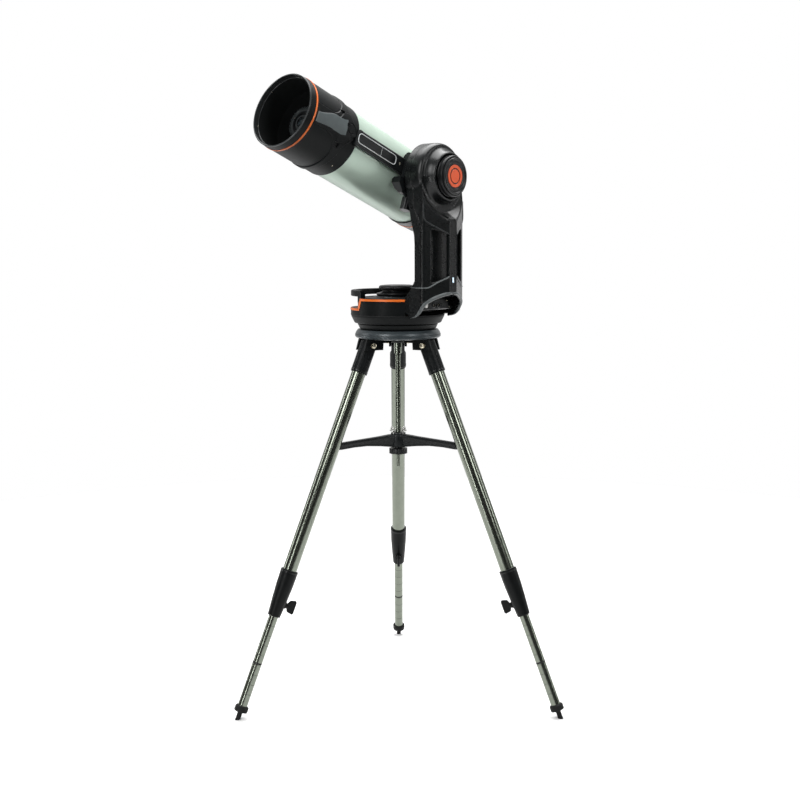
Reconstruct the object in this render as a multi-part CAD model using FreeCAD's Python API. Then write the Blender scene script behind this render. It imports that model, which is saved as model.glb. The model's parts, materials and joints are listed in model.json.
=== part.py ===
import FreeCAD, Part
import math
import os
from FreeCAD import Placement, Rotation, Vector

# Telescope on a single-arm altazimuth mount and a folding tripod.
# Millimetres. +Z is up. The origin is on the floor, on the azimuth axis.

# ---------------------------------------------------------------- driving dimensions
# Tripod
LEG_AZIMUTHS = (210, 330, 90)
FOOT_RADIUS = 491.0            # from the azimuth axis to the foot, on the floor
LEG_TILT = 22.37               # degrees from vertical
HINGE_Z = 970.0
UPPER_LEG_R = 19.05
LOWER_LEG_R = 12.7
LEG_WALL = 1.5
RUNNING = 0.05                 # radial clearance of a sliding or turning fit
FOOT_COLLAR = (22.0, 38.8, 18.0)       # start and end along the leg, radius
FOOT_TIP_R = 6.5
CLAMP_BOTTOM, CLAMP_TOP = 285.4, 413.7
LOCK_KNOB_ALONG = 320.0
LOWER_LEG_TOP = 680.0
SOCKET_BOTTOM = 969.3
SOCKET_R = 22.5
EAR_INNER_Y, EAR_OUTER_Y = 19.0, 25.0
HINGE_BOLT_R = 4.0
HEAD_RING_R = 116.5
HEAD_BOTTOM_Z, HEAD_TOP_Z = 987.0, 1010.5
ROD_R, ROD_COLLAR_R, ROD_THREAD_R = 7.2, 10.7, 4.6
ROD_END_Z = 632.0
SPREADER_TOP_Z = 721.0
SPREADER_TIP_GAP = 0.9

# Mount base, turning about Z
BASE_BOTTOM_Z, BASE_TOP_Z = 1011.5, 1027.0
SHELL_BOTTOM_Z = 1028.5
SHELL_BEVEL_Z = 1050.0
SHELL_R = 127.5
DECK_Z = 1098.0
SHELL_WALL = 3.5
HANDLE_FLOOR_Z = 1070.0
HANDLE_WALL_R = 95.0
HANDLE_HALF_ANGLE = 75.0       # of the finger gap, about the side opposite the arm
HANDLE_BAR = (1101.0, 1117.0, 112.0)   # bottom, top, inner radius
TRIM_Z = (1090.0, 1096.0)
ARM_SEAM_ANGLE = 40.4
KNOB_TOP_Z = 1130.0

# Arm, in the mount frame: +X towards the arm, -Y to the front, +Z up
MOUNT_TURN = -41.4
ALTITUDE_Z = 1414.0
ARM_HALF = 82.0
ARM_WALL = 3.2
ARM_EDGE_X = 163.0
SPINE_X, SPINE_HALF = 193.0, 14.0
SPINE_BACK_X, RECESS_BACK_X = 180.0, 158.0
HEAD_IN_X, HEAD_R = 98.0, 87.0
HEAD_OUT_X = 178.0
PORT_FACE_X = 129.0
BAY_END_X, BAY_RIM = 182.0, 6.0
CLUTCH_IN_X, CLUTCH_OUT_X = 179.0, 200.8
SHAFT_R = 12.0

# Tube assembly, in the tube frame: +Z along the optical axis to the front, +X to the arm, +Y up
TUBE_ALTITUDE = 20.8
TUBE_OFFSET_X = -19.4
TUBE_R, TUBE_WALL = 92.5, 2.0
TUBE_REAR, TUBE_FRONT = -76.0, 250.0
SHIELD_START, SHIELD_END = 325.0, 433.6
SHIELD_R, SHIELD_BORE_R = 97.0, 92.6
BORE_START = 345.0
SHIELD_RING = (408.5, 413.5)
REAR_TRIM = (-113.0, -108.0)
REAR_END = -172.0
BAR_X, BAR_HALF = (93.5, 104.5), 21.0
SADDLE_X_MAX = 116.2
SADDLE_KNOB_ALONG = 30.0

X, Y, Z = Vector(1, 0, 0), Vector(0, 1, 0), Vector(0, 0, 1)
nodes = {}


# ---------------------------------------------------------------- shape helpers
def cylinder(radius, start, end, axis=Z, at=Vector(0, 0, 0)):
    """Cylinder along an axis, from start to end measured from the point at."""
    return Part.makeCylinder(radius, end - start, at + axis * start, axis)


def ring(outer, inner, start, end, axis=Z, at=Vector(0, 0, 0)):
    return cylinder(outer, start, end, axis, at).cut(cylinder(inner, start - 1, end + 1, axis, at))


def block(x0, x1, y0, y1, z0, z1):
    return Part.makeBox(x1 - x0, y1 - y0, z1 - z0, Vector(x0, y0, z0))


def face_of(points):
    return Part.Face(Part.makePolygon(points + points[:1]))


def revolve(profile):
    """Solid of revolution about Z from a closed outline of (radius, height)."""
    return face_of([Vector(r, 0, z) for r, z in profile]).revolve(Vector(0, 0, 0), Z, 360)


def prism_y(outline, y0, y1):
    """Outline of (x, z), extruded along Y."""
    return face_of([Vector(x, y0, z) for x, z in outline]).extrude(Y * (y1 - y0))


def prism_z(outline, z0, z1):
    """Outline of (x, y), extruded along Z."""
    return face_of([Vector(x, y, z0) for x, y in outline]).extrude(Z * (z1 - z0))


def prism_x(outline, x0, x1):
    """Outline of (y, z), extruded along X."""
    return face_of([Vector(x0, y, z) for y, z in outline]).extrude(X * (x1 - x0))


def sector(outer, inner, z0, z1, start_deg, sweep_deg):
    """Part of a ring about Z, from a start angle over a sweep."""
    profile = [Vector(r, 0, z) for r, z in ((inner, z0), (outer, z0), (outer, z1), (inner, z1))]
    piece = face_of(profile).revolve(Vector(0, 0, 0), Z, sweep_deg)
    return piece.rotated(Vector(0, 0, 0), Z, start_deg)


def polar(radius, angle, z=0.0):
    a = math.radians(angle)
    return Vector(radius * math.cos(a), radius * math.sin(a), z)


def fuse(first, *others):
    return first.fuse(list(others)).removeSplitter() if others else first


def cut(first, *others):
    return first.cut(list(others))


def toothed(outer, root, teeth, z0, z1):
    """Spur wheel whose outline steps between the root and the outer radius."""
    points = []
    for i in range(teeth):
        for share, radius in ((0.0, root), (0.3, root), (0.45, outer), (0.85, outer)):
            points.append(polar(radius, 360.0 * (i + share) / teeth, z0))
    return face_of(points).extrude(Z * (z1 - z0))


def fluted(radius, flutes, flute_r, z0, z1):
    """Round grip with scalloped flutes around it."""
    grip = cylinder(radius, z0, z1)
    scallops = [cylinder(flute_r, z0 - 1, z1 + 1, Z, polar(radius + flute_r * 0.62, 360.0 * i / flutes))
                for i in range(flutes)]
    return grip.cut(scallops)


def rounded(shape, radius, chosen):
    """Fillet the edges that chosen accepts, and keep the shape if the kernel can't."""
    edges = [e for e in shape.Edges if chosen(e)]
    try:
        result = shape.makeFillet(radius, edges)
    except Part.OCCError:
        return shape
    return result if result.isValid() and result.Volume > 0.5 * shape.Volume else shape


def one_solid(shape):
    return shape.Solids[0] if len(shape.Solids) == 1 else shape


# ---------------------------------------------------------------- frames
def on_leg(shape, azimuth):
    """From the leg frame (Z up along the leg from the floor, X outward) to the row frame."""
    placed = shape.copy()
    placed.Placement = Placement(Vector(FOOT_RADIUS, 0, 0), Rotation(Y, -LEG_TILT)).multiply(placed.Placement)
    return placed.rotated(Vector(0, 0, 0), Z, azimuth)


def on_radius(shape, azimuth):
    return shape.rotated(Vector(0, 0, 0), Z, azimuth)


def on_mount(shape):
    return shape.rotated(Vector(0, 0, 0), Z, MOUNT_TURN)


def on_tube(shape):
    placed = shape.copy()
    tilt = Rotation(X, 90.0 - TUBE_ALTITUDE)
    placed.Placement = Placement(Vector(TUBE_OFFSET_X, 0, ALTITUDE_Z), tilt).multiply(placed.Placement)
    return on_mount(placed)


def keep(name, shape):
    nodes[name] = one_solid(shape)


# ---------------------------------------------------------------- tripod
SLOPE = math.tan(math.radians(LEG_TILT))
HINGE_RADIUS = FOOT_RADIUS - HINGE_Z * SLOPE
HINGE_ALONG = HINGE_Z / math.cos(math.radians(LEG_TILT))
HINGE = Vector(HINGE_RADIUS, 0, HINGE_Z)


def ears():
    """Two hanging plates that hold one leg, in the plane of that leg."""
    outline = [(58, HEAD_BOTTOM_Z + 1), (108, HEAD_BOTTOM_Z + 1), (117, HINGE_Z - 13), (60, HINGE_Z - 13)]
    plates = [prism_y(outline, EAR_INNER_Y, EAR_OUTER_Y), prism_y(outline, -EAR_OUTER_Y, -EAR_INNER_Y)]
    hole = cylinder(HINGE_BOLT_R, -40, 40, Y, HINGE)
    return [plate.cut(hole) for plate in plates]


def make_head():
    profile = [(0, HEAD_BOTTOM_Z), (106, HEAD_BOTTOM_Z), (113, HEAD_BOTTOM_Z + 1.5), (HEAD_RING_R, 992),
               (HEAD_RING_R, 997), (114, 1004), (109, HEAD_TOP_Z), (0, HEAD_TOP_Z)]
    head = revolve(profile)
    hub = revolve([(0, 974), (26, 974), (30, 978), (30, HEAD_BOTTOM_Z), (0, HEAD_BOTTOM_Z)])
    webs = [on_radius(block(20, 62, -9, 9, 974, HEAD_BOTTOM_Z), a) for a in LEG_AZIMUTHS]
    plates = [on_radius(ear, a) for a in LEG_AZIMUTHS for ear in ears()]
    head = fuse(head, hub, *webs, *plates)
    head = cut(head, cylinder(ROD_R, 960, 1000), *[cylinder(3.0, 960, 1020, Z, polar(45, a + 60))
                                                  for a in LEG_AZIMUTHS])
    level_pocket = cylinder(9.0, 1004, 1020, Z, polar(92, 200))
    keep("tripod_head", head.cut(level_pocket))
    keep("bubble_level", cylinder(8.8, 1004.2, HEAD_TOP_Z, Z, polar(92, 200)))
    bolts = []
    for a in LEG_AZIMUTHS:
        shank = cylinder(HINGE_BOLT_R, -27, 27, Y, HINGE)
        caps = [cylinder(7.5, EAR_OUTER_Y, 31, Y, HINGE), cylinder(7.5, -31, -EAR_OUTER_Y, Y, HINGE)]
        bolts.append(on_radius(fuse(shank, *caps), a))
    keep("hinge_bolts", Part.makeCompound(bolts))
    screws = []
    for a in LEG_AZIMUTHS:
        at = polar(45, a + 60)
        screws.append(fuse(cylinder(2.95, HEAD_BOTTOM_Z, 1016, Z, at), cylinder(6.5, 981, HEAD_BOTTOM_Z, Z, at)))
    keep("mount_bolts", Part.makeCompound(screws))


def make_rod():
    rod = fuse(cylinder(ROD_R, SPREADER_TOP_Z + 2, 1000), cylinder(ROD_COLLAR_R, 944, 974),
               cylinder(ROD_THREAD_R, ROD_END_Z, SPREADER_TOP_Z + 3))
    slots = [block(-2.6, 2.6, 4, 12, 940, 962).rotated(Vector(0, 0, 0), Z, a) for a in (0, 180)]
    keep("center_rod", rod.cut(slots))


def make_leg(number, azimuth):
    socket = cylinder(SOCKET_R, SOCKET_BOTTOM, 1085)
    socket = socket.cut(cylinder(UPPER_LEG_R, SOCKET_BOTTOM - 1, 1020))
    placed = on_leg(socket, 0)
    over = block(-50, 250, -40, 40, HINGE_Z + 15, 1150)
    inner_corner = block(HINGE_RADIUS - 60, HINGE_RADIUS, -40, 40, HINGE_Z, HINGE_Z + 60)
    knuckle = cylinder(16.0, -45, 45, Y, HINGE)
    flats = [cylinder(38.5, 18.7, 45, Y, HINGE), cylinder(38.5, -45, -18.7, Y, HINGE)]
    bore = cylinder(HINGE_BOLT_R + RUNNING, -40, 40, Y, HINGE)
    placed = cut(placed, over, inner_corner.cut(knuckle), *flats, bore)
    keep(f"leg_socket_{number}", on_radius(placed, azimuth))

    tube = ring(UPPER_LEG_R, UPPER_LEG_R - LEG_WALL, 342, 1020)
    keep(f"upper_leg_{number}", on_leg(tube, azimuth))

    sleeve = revolve([(0, CLAMP_BOTTOM), (16.2, CLAMP_BOTTOM), (17.2, CLAMP_BOTTOM + 2), (20.4, 330),
                      (22.8, 368), (23.6, CLAMP_TOP - 2), (22.9, CLAMP_TOP), (0, CLAMP_TOP)])
    boss = cylinder(9.0, 8, 23, -X, Vector(0, 0, LOCK_KNOB_ALONG))
    sleeve = fuse(sleeve, boss)
    sleeve = cut(sleeve, cylinder(UPPER_LEG_R, 342, CLAMP_TOP + 1),
                 cylinder(LOWER_LEG_R + RUNNING, CLAMP_BOTTOM - 1, 343),
                 cylinder(3.0 + RUNNING, 0, 40, -X, Vector(0, 0, LOCK_KNOB_ALONG)))
    keep(f"leg_clamp_{number}", on_leg(sleeve, azimuth))

    at = Vector(0, 0, LOCK_KNOB_ALONG)
    wing = prism_y([(-27, 316), (-34, 304), (-49, 301), (-52, 306), (-52, 334), (-49, 339), (-34, 336),
                    (-27, 324)], -4.0, 4.0)
    wing = rounded(wing, 2.0, lambda e: True)
    knob = fuse(cylinder(3.0, 13.2, 30, -X, at), cylinder(7.0, 23.4, 30, -X, at), wing)
    keep(f"lock_knob_{number}", on_leg(knob, azimuth))

    lower = ring(LOWER_LEG_R, LOWER_LEG_R - LEG_WALL, 26, LOWER_LEG_TOP)
    bush = ring(UPPER_LEG_R - LEG_WALL - RUNNING, LOWER_LEG_R, LOWER_LEG_TOP - 18, LOWER_LEG_TOP)
    keep(f"lower_leg_{number}", on_leg(fuse(lower, bush), azimuth))

    start, end, radius = FOOT_COLLAR
    foot = revolve([(0, -8), (FOOT_TIP_R, -8), (FOOT_TIP_R, 17), (9, start), (radius - 1.5, start),
                    (radius, start + 2), (radius, end - 3), (radius - 3, end), (0, end)])
    foot = foot.cut(cylinder(LOWER_LEG_R, 26, end + 1))
    foot = on_leg(foot, azimuth).cut(Part.makeBox(1200, 1200, 60, Vector(-600, -600, -60)))
    keep(f"foot_{number}", foot)


def make_spreader():
    def end_radius(z):
        return FOOT_RADIUS - z * SLOPE - UPPER_LEG_R / math.cos(math.radians(LEG_TILT)) - SPREADER_TIP_GAP

    arms = []
    for azimuth in LEG_AZIMUTHS:
        side = prism_y([(0, 691), (60, 692), (130, 692), (end_radius(690), 690), (end_radius(708), 708),
                        (130, 717), (60, 720), (0, SPREADER_TOP_Z)], -14, 14)
        plan = prism_z([(-4, -13), (60, -12), (120, -8.5), (200, -8), (200, 8), (120, 8.5), (60, 12),
                        (-4, 13)], 680, 730)
        arms.append(on_radius(side.common(plan), azimuth))
    hub = revolve([(0, 690), (22, 690), (22, SPREADER_TOP_Z), (17, 726), (0, 726)])
    lugs = []
    for azimuth in LEG_AZIMUTHS:
        lug = cylinder(6.0, -5, 5, Y, Vector(18.5, 0, 729))
        lug = lug.fuse(block(12.5, 24.5, -5, 5, 720, 729))
        lugs.append(on_radius(lug, azimuth))
    spreader = fuse(hub, *arms, *lugs)
    clear_of_rod = cylinder(ROD_R + 0.6, SPREADER_TOP_Z + 1, 745)
    spreader = cut(spreader, cylinder(ROD_THREAD_R + RUNNING, 680, 730), clear_of_rod)
    keep("spreader", spreader)
    keep("spreader_washer", ring(12.0, ROD_THREAD_R + RUNNING, 687.2, 689.7))
    grip = fluted(25.0, 12, 4.0, 668.0, 682.0)
    knob = fuse(grip, cylinder(11.5, 682, 686.9)).cut(cylinder(ROD_THREAD_R + RUNNING, 660, 690))
    keep("spreader_knob", knob)


# ---------------------------------------------------------------- azimuth base
def make_base():
    drum = revolve([(0, BASE_BOTTOM_Z), (100, BASE_BOTTOM_Z), (103.5, BASE_BOTTOM_Z + 1.5),
                    (109, BASE_TOP_Z - 2), (108, BASE_TOP_Z), (0, BASE_TOP_Z)])
    post = cylinder(20, BASE_TOP_Z, 1090)
    drum = fuse(drum, post).cut(cylinder(98, BASE_BOTTOM_Z + 6, BASE_TOP_Z + 1).cut(
        cylinder(28, BASE_BOTTOM_Z, BASE_TOP_Z + 2)))
    screw_holes = [cylinder(3.0, 1005, 1016, Z, polar(45, a + 60)) for a in LEG_AZIMUTHS]
    spindle_bore = cylinder(8.0, 1060, 1091)
    keep("base_drum", cut(drum, spindle_bore, *screw_holes))
    wheel = toothed(74, 71, 90, 1030, 1038).cut(cylinder(28.0, 1020, 1045))
    hub = ring(28, 20, 1027, 1050)
    keep("azimuth_gear", fuse(wheel, hub))
    keep("azimuth_bearing", ring(32, 20, 1052, 1064))


def shell_solid(grow, z_low, z_high):
    """Outer body of the turntable, or its hollow when grow is negative."""
    return revolve([(0, z_low), (116.5 + grow, z_low), (118.5 + grow, max(z_low, SHELL_BOTTOM_Z + 2)),
                    (126 + grow, SHELL_BEVEL_Z - 4), (SHELL_R + grow, SHELL_BEVEL_Z + 2),
                    (SHELL_R + grow, z_high - 2), (SHELL_R + grow - 2, z_high), (0, z_high)])


def finger_gap():
    """Space behind and below the carrying bar, opposite the arm."""
    start = 180 - HANDLE_HALF_ANGLE
    return sector(SHELL_R + 10, HANDLE_WALL_R, HANDLE_FLOOR_Z, DECK_Z + 40, start, 2 * HANDLE_HALF_ANGLE)


def make_turntable():
    shell = shell_solid(0, SHELL_BOTTOM_Z, DECK_Z)
    gap_floor = sector(SHELL_R, HANDLE_WALL_R - SHELL_WALL, HANDLE_FLOOR_Z - SHELL_WALL, DECK_Z,
                       180 - HANDLE_HALF_ANGLE - 2, 2 * HANDLE_HALF_ANGLE + 4)
    hollow = shell_solid(-SHELL_WALL, SHELL_BOTTOM_Z + SHELL_WALL, DECK_Z - SHELL_WALL).cut(gap_floor)
    shell = cut(shell, hollow, cylinder(80, SHELL_BOTTOM_Z - 1, SHELL_BOTTOM_Z + SHELL_WALL + 1), finger_gap())

    low, high, inner = HANDLE_BAR
    start = 180 - HANDLE_HALF_ANGLE
    bar = sector(SHELL_R - 0.5, inner, low, high, start - 4, 2 * HANDLE_HALF_ANGLE + 8)
    bar = rounded(bar, 3.0, lambda e: e.Length > 120)
    posts = [sector(SHELL_R - 0.5, inner, DECK_Z - 12, high - 3, a, 7) for a in (start - 6, 359 - start)]
    bearing_seat = ring(40, 32 + RUNNING, 1051, DECK_Z - SHELL_WALL)
    shell = fuse(shell, bar, bearing_seat, *posts)
    shell = cut(shell, cylinder(21.0, 1040, 1120), arm_footprint())
    keep("turntable_shell", on_mount(shell))

    outer, inner_r = SHELL_R + 1.0, SHELL_R + 0.05
    low_trim = (HANDLE_FLOOR_Z - 6, HANDLE_FLOOR_Z)
    strips = [sector(outer, inner_r, *TRIM_Z, -99, 99 - ARM_SEAM_ANGLE),
              sector(outer, inner_r, *TRIM_Z, ARM_SEAM_ANGLE, 99 - ARM_SEAM_ANGLE),
              sector(outer, inner_r, *low_trim, 106, 148)]
    for side in (-1, 1):
        slope = face_of([Vector(100, y, z) for y, z in ((-7.5, 1064), (1, 1064), (15, 1096), (6.5, 1096))])
        slope = slope.extrude(X * 60)
        if side == 1:
            slope = slope.mirror(Vector(0, 0, 0), Y)
        angle = 103.2 * side
        strips.append(slope.rotated(Vector(0, 0, 0), Z, angle).common(
            sector(outer, inner_r, 1060, 1100, angle - 9, 18)))
    keep("base_trim", on_mount(fuse(*strips)))

    skirt = revolve([(0, 1099), (52, 1099), (57, 1103), (58, 1107.5), (49, 1110), (42, 1112), (0, 1112)])
    skirt = skirt.cut(cylinder(40, 1098, 1108))
    cap = revolve([(0, 1112), (42, 1112), (43, 1117), (49.5, 1118.5), (50.5, 1121), (50, 1126),
                   (47, 1128.5), (36, KNOB_TOP_Z), (0, KNOB_TOP_Z)])
    spindle = cylinder(8.0 - RUNNING, 1066, 1112)
    keep("azimuth_clutch_knob", on_mount(fuse(skirt, cap, spindle)))

    screw = cylinder(5.0, -30, 30, X, Vector(20, -84, 1040))
    motor = fuse(block(-60, -10, -98, -79, 1034, 1062), screw)
    keep("azimuth_motor", on_mount(motor))


# ---------------------------------------------------------------- arm
ARM_FOOT_SLOPE = 0.76


def foot_z(x):
    """Height of the arm's slanted lower edge at x."""
    return SHELL_BEVEL_Z + ARM_FOOT_SLOPE * (x - 108)


def arm_side(inset):
    """Side outline of the arm below its head, set in by the wall."""
    i = inset
    return [(97 + i, DECK_Z + 2 + i), (117 + i, 1122 + i * 0.5), (130.5 + i, 1145), (130.5 + i, 1240),
            (129 + i, 1263), (118.5 + i, 1302), (104 + i, 1374), (HEAD_IN_X + i, 1392),
            (HEAD_IN_X + i, 1414), (168 - i, 1414), (168 - i, 1380), (174 - i, 1361), (SPINE_X - i, 1342),
            (SPINE_X - i, foot_z(SPINE_X)), (112 + i, foot_z(112)), (97 + i, 1062)]


def arm_plan(inset):
    edge, spine, half = ARM_EDGE_X - inset, SPINE_X - inset, ARM_HALF - inset
    strip = SPINE_HALF - inset * 0.4
    return [(90, -half), (edge - 5, -half), (edge, -half + 6), (spine, -strip), (spine, strip),
            (edge, half - 6), (edge - 5, half), (90, half)]


def arm_footprint():
    """What the turntable leaves open for the foot of the arm."""
    return block(97 - 0.05, 140, -ARM_HALF - 0.05, ARM_HALF + 0.05, SHELL_BEVEL_Z, DECK_Z + 60)


def arm_head(inset):
    i = inset
    outline = [(0, HEAD_IN_X + i), (HEAD_R - 4 - i, HEAD_IN_X + i), (HEAD_R - i, HEAD_IN_X + 4),
               (HEAD_R - i, 122), (HEAD_R - 3 - i, 136), (HEAD_R - 9 - i, 150), (HEAD_R - 18 - i, 162),
               (57, 167 - i), (56 - i * 0.3, HEAD_OUT_X - i), (0, HEAD_OUT_X - i)]
    head = revolve(outline)
    head.Placement = Placement(Vector(0, 0, ALTITUDE_Z), Rotation(Y, 90))
    return head


def arm_body(inset):
    body = prism_y(arm_side(inset), -ARM_HALF, ARM_HALF).common(
        prism_z(arm_plan(inset), 1040, 1420))
    return fuse(body, arm_head(inset))


def grip_recess():
    """Finger space behind the spine, open to both sides and outward on each side of the spine."""
    high = [(RECESS_BACK_X, 1134), (SPINE_X + 5, 1158), (SPINE_X + 5, 1265), (RECESS_BACK_X, 1283)]
    space = prism_y(high, -ARM_HALF + 21, ARM_HALF - 21)
    spine = block(SPINE_BACK_X, SPINE_X + 10, -SPINE_HALF, SPINE_HALF, 1100, 1300)
    return space.cut(spine)


def recess_skin():
    """Wall around the finger space, so that the arm stays closed inside."""
    w = ARM_WALL
    skin = prism_y([(RECESS_BACK_X - w, 1134 - w - 1), (SPINE_X, 1158 - w - 1), (SPINE_X, 1265 + w + 1),
                    (RECESS_BACK_X - w, 1283 + w + 1)], -ARM_HALF + 21 - w, ARM_HALF - 21 + w)
    return skin


def bay_skin():
    """Ceiling and side walls of the port bay."""
    return prism_y([(PORT_FACE_X + 3, 1030), (SPINE_X, 1030), (SPINE_X, foot_z(SPINE_X) + 3), (166, 1113 + ARM_WALL),
                    (PORT_FACE_X + 3, 1098 + ARM_WALL)], -ARM_HALF, ARM_HALF)


def make_arm():
    whole = arm_body(0)
    hollow = arm_body(ARM_WALL).cut(recess_skin())
    bay = prism_y([(PORT_FACE_X + 3, 1030), (BAY_END_X, 1030), (BAY_END_X, foot_z(BAY_END_X) + 3), (166, 1113),
                   (PORT_FACE_X + 3, 1098)], -ARM_HALF + BAY_RIM, ARM_HALF - BAY_RIM)
    bay = bay.common(prism_z(arm_plan(BAY_RIM), 1000, 1200))
    shaft_hole = cylinder(SHAFT_R + 1.0, 90, 185, X, Vector(0, 0, ALTITUDE_Z))
    whole = cut(whole, hollow.cut(bay_skin()), bay, grip_recess(), shaft_hole)
    inner_region = prism_y([(90, 1040), (150, 1040), (150, 1285), (124, 1335), (124, 1520), (90, 1520)],
                           -100, 100)
    light_slot = block(SPINE_X - 2.5, SPINE_X + 5, -2.6, 2.6, 1140, 1153)
    keep("arm_inner_shell", on_mount(whole.common(inner_region)))
    keep("arm_outer_shell", on_mount(cut(whole, inner_region, light_slot)))
    keep("arm_light", on_mount(block(SPINE_X - 2.5, SPINE_X + 0.3, -2.5, 2.5, 1140.1, 1152.9)))
    screws = [cylinder(3.0, 129.7, 130.5, X, Vector(0, y, z)) for y in (-68, 68) for z in (1155, 1235)]
    keep("arm_screws", on_mount(Part.makeCompound(screws)))


def make_ports():
    face_x = PORT_FACE_X
    plate = prism_y([(face_x, 1066.5), (face_x + 3, 1069), (face_x + 3, 1097.5), (face_x, 1097.5)], -72, 72)
    button_at = Vector(0, -41, 1079)
    jacks = [Vector(0, -6.5, 1079), Vector(0, 12, 1079)]
    holes = [cylinder(4.6, face_x - 1, face_x + 4, X, p) for p in jacks]
    hole = cylinder(6.3, face_x - 1, face_x + 4, X, button_at)
    bezels = [ring(6.2, 4.6, face_x + 3, face_x + 4.2, X, p) for p in jacks]
    collar = ring(8.5, 6.3, face_x + 3, face_x + 5, X, button_at)
    socket = block(face_x + 3, face_x + 4.2, 26, 40, 1075, 1083)
    plate = fuse(plate, *bezels, collar, socket).cut(holes + [hole])
    keep("port_panel", on_mount(plate))
    keep("power_button", on_mount(fuse(cylinder(6.0, face_x + 1, face_x + 8, X, button_at),
                                       cylinder(3.0, face_x - 3, face_x + 2, X, button_at))))


def make_arm_contents():
    bearing_at = Vector(0, 0, ALTITUDE_Z)
    bearings = [ring(20, SHAFT_R + RUNNING, a, a + 8, X, bearing_at) for a in (102, 160)]
    keep("altitude_bearings", on_mount(Part.makeCompound(bearings)))
    worm = cylinder(5.0, -28, 28, Y, Vector(134, 0, ALTITUDE_Z - 61))
    motor = fuse(worm, block(120, 146, 28, 62, ALTITUDE_Z - 76, ALTITUDE_Z - 48))
    keep("altitude_motor", on_mount(motor))
    keep("battery_pack", on_mount(block(135, 153, -55, 55, 1165, 1270)))
    keep("control_board", on_mount(block(140, 142, -45, 45, 1110, 1155)))
    dial = revolve([(0, CLUTCH_IN_X), (52, CLUTCH_IN_X), (53, CLUTCH_IN_X + 2), (53, CLUTCH_OUT_X - 8),
                    (51, CLUTCH_OUT_X - 1.5), (49.5, CLUTCH_OUT_X), (40, CLUTCH_OUT_X),
                    (38, CLUTCH_OUT_X - 2), (0, CLUTCH_OUT_X - 2)])
    dial = dial.cut(cylinder(SHAFT_R + RUNNING, CLUTCH_IN_X - 1, CLUTCH_OUT_X - 6))
    dial.Placement = Placement(Vector(0, 0, ALTITUDE_Z), Rotation(Y, 90))
    keep("altitude_clutch_knob", on_mount(dial))


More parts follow.
